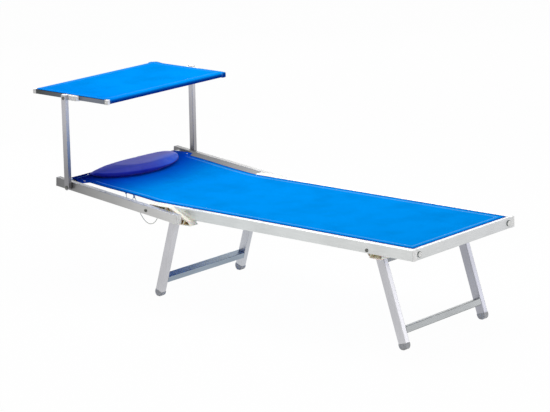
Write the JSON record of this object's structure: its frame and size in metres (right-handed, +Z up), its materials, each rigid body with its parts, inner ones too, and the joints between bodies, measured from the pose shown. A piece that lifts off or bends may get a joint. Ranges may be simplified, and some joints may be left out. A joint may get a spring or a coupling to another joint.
{
  "type": "folding sun lounger with canopy",
  "caption": "Folding aluminium sun lounger with blue sling cloth, a low raised backrest, a half-moon pillow and a small tilting canopy on arms over the head end.",
  "frame": {"origin": "centre of the bounding box at floor level, midway between the head and foot ends and on the centre plane", "axes": "+X towards the foot end, +Y to the left of a person lying on it, +Z up"},
  "size_m": [2.0156, 0.777, 0.8354],
  "materials": {
    "frame_aluminium": "satin anodised extrusion",
    "leg_aluminium": "satin anodised extrusion",
    "nylon_cream": "moulded, ribbed",
    "white_plastic": "moulded",
    "grey_plastic": "moulded",
    "zinc_steel": "zinc plated",
    "sling_fabric": "woven sling cloth",
    "pillow_fabric": "smooth cloth with a sheen",
    "cord": "twisted cord"
  },
  "bodies": {
    "seat_frame": {"seat_rail_right": "frame_aluminium", "seat_rail_left": "frame_aluminium", "foot_rail": "frame_aluminium", "foot_corner_right": "white_plastic", "foot_corner_left": "white_plastic", "foot_end_plug_right": "white_plastic", "foot_end_plug_left": "white_plastic", "recline_joint_right": "nylon_cream", "recline_joint_left": "nylon_cream", "foot_leg_bracket_right": "nylon_cream", "foot_leg_bracket_left": "nylon_cream", "head_leg_bracket_right": "nylon_cream", "head_leg_bracket_left": "nylon_cream", "head_leg_axle": "frame_aluminium", "foot_leg_bolt_right": "zinc_steel", "foot_leg_bolt_left": "zinc_steel", "seat_sling": "sling_fabric"},
    "backrest": {"back_rail_right": "frame_aluminium", "back_rail_left": "frame_aluminium", "back_rail_head_cap_right": "grey_plastic", "back_rail_head_cap_left": "grey_plastic", "back_rail_foot_cap_right": "white_plastic", "back_rail_foot_cap_left": "white_plastic", "recline_bolt_right": "zinc_steel", "recline_bolt_left": "zinc_steel", "head_tube": "frame_aluminium", "back_sling": "sling_fabric", "pillow": "pillow_fabric", "tie_cord": "cord", "arm_spacer_right": "white_plastic", "arm_spacer_left": "white_plastic", "arm_pivot_bolt_right": "zinc_steel", "arm_pivot_bolt_left": "zinc_steel"},
    "canopy_arms": {"canopy_arm_right": "frame_aluminium", "canopy_arm_left": "frame_aluminium"},
    "canopy_roof": {"roof_rail_right": "frame_aluminium", "roof_rail_left": "frame_aluminium", "roof_cap_head_right": "white_plastic", "roof_cap_head_left": "white_plastic", "roof_cap_foot_right": "white_plastic", "roof_cap_foot_left": "white_plastic", "roof_tube_head": "frame_aluminium", "roof_tube_foot": "frame_aluminium", "roof_tee_right": "white_plastic", "roof_tee_left": "white_plastic", "roof_pivot_bolt_right": "zinc_steel", "roof_pivot_bolt_left": "zinc_steel", "roof_cloth": "sling_fabric"},
    "head_legs": {"head_leg_right": "leg_aluminium", "head_leg_left": "leg_aluminium", "head_leg_shoe_right": "grey_plastic", "head_leg_shoe_left": "grey_plastic", "head_leg_bar": "leg_aluminium"},
    "foot_legs": {"foot_leg_right": "leg_aluminium", "foot_leg_left": "leg_aluminium", "foot_leg_shoe_right": "grey_plastic", "foot_leg_shoe_left": "grey_plastic", "foot_leg_bar": "leg_aluminium", "foot_leg_top_bar": "leg_aluminium"}
  },
  "joints": [
    {"name": "backrest_recline", "type": "hinge", "parent": "seat_frame", "child": "backrest", "pos_m": [-0.35122, 0, 0.398], "axis": [0, 1, 0], "range_deg": [-5.6, 56]},
    {"name": "canopy_swing", "type": "hinge", "parent": "backrest", "child": "canopy_arms", "pos_m": [-0.79668, 0, 0.44067], "axis": [0, 1, 0], "range_deg": [-88, 38]},
    {"name": "canopy_tilt", "type": "hinge", "parent": "canopy_arms", "child": "canopy_roof", "pos_m": [-0.7827, 0, 0.82192], "axis": [0, 1, 0], "range_deg": [-75, 75]},
    {"name": "head_leg_fold", "type": "hinge", "parent": "seat_frame", "child": "head_legs", "pos_m": [-0.29022, 0, 0.3866], "axis": [0, 1, 0], "range_deg": [-105, 0]},
    {"name": "foot_leg_fold", "type": "hinge", "parent": "seat_frame", "child": "foot_legs", "pos_m": [0.77778, 0, 0.3866], "axis": [0, 1, 0], "range_deg": [0, 105]}
  ]
}
